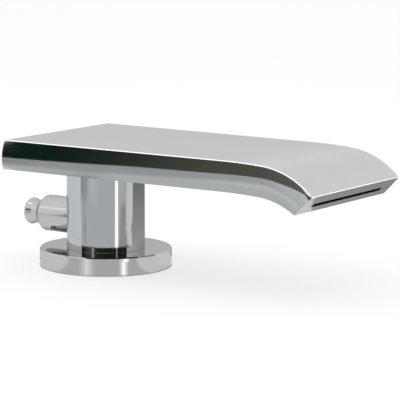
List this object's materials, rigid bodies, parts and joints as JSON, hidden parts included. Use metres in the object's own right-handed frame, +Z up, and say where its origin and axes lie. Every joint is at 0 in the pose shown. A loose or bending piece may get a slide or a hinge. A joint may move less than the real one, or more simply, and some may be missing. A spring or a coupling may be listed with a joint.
{
  "type": "waterfall bath spout",
  "caption": "Deck-mounted waterfall bath spout: flat plate with a bent tip and slot outlet, on a round column with a base flange and a pull-out diverter knob.",
  "frame": {"origin": "centre of the base flange's underside, on the deck", "axes": "+X from the column out to the spout's tip, +Z up, the diverter knob points along -X"},
  "size_m": [0.2025, 0.092, 0.0688],
  "materials": {
    "polished_chrome": "polished chrome plate",
    "column_chrome": "polished chrome plate",
    "flange_chrome": "polished chrome plate",
    "knob_chrome": "polished chrome plate",
    "steel_fixings": "plain stainless steel",
    "spring_steel": "drawn stainless wire",
    "raw_brass": "turned brass",
    "channel_polymer": "moulded, matt",
    "outlet_polymer": "moulded, matt black",
    "fibre_washer": "pressed fibre",
    "seal_rubber": "moulded rubber"
  },
  "bodies": {
    "spout": {"spout_shell": "polished_chrome", "under_plate": "polished_chrome", "under_plate_screws": "steel_fixings", "channel_tray": "channel_polymer", "channel_gasket": "seal_rubber", "channel_lid": "channel_polymer", "lid_pads": "seal_rubber", "flow_spreader": "channel_polymer", "flow_comb": "channel_polymer", "nozzle_insert": "outlet_polymer", "hollow_bolt": "raw_brass", "bolt_washer": "fibre_washer", "spacer_ring": "raw_brass", "riser_o_ring": "seal_rubber", "locating_pins": "steel_fixings", "column_sleeve": "column_chrome", "column_core": "raw_brass", "base_flange": "flange_chrome", "deck_seal": "seal_rubber", "bonnet": "knob_chrome", "gland_bush": "raw_brass", "gland_o_ring": "seal_rubber", "spindle_o_ring": "seal_rubber", "seat_cage": "raw_brass", "return_spring": "spring_steel"},
    "diverter": {"diverter_knob": "knob_chrome", "spindle": "steel_fixings", "spring_collar": "steel_fixings", "retaining_clip": "steel_fixings", "valve_disc": "raw_brass", "valve_washers": "seal_rubber", "valve_nut": "raw_brass"}
  },
  "joints": [
    {"name": "knob_pull", "type": "slide", "parent": "spout", "child": "diverter", "axis": [-1, 0, 0], "range_m": [0, 0.008], "stiffness_N_per_m": 350, "springref_m": -0.006, "deforming": ["return_spring"]}
  ]
}
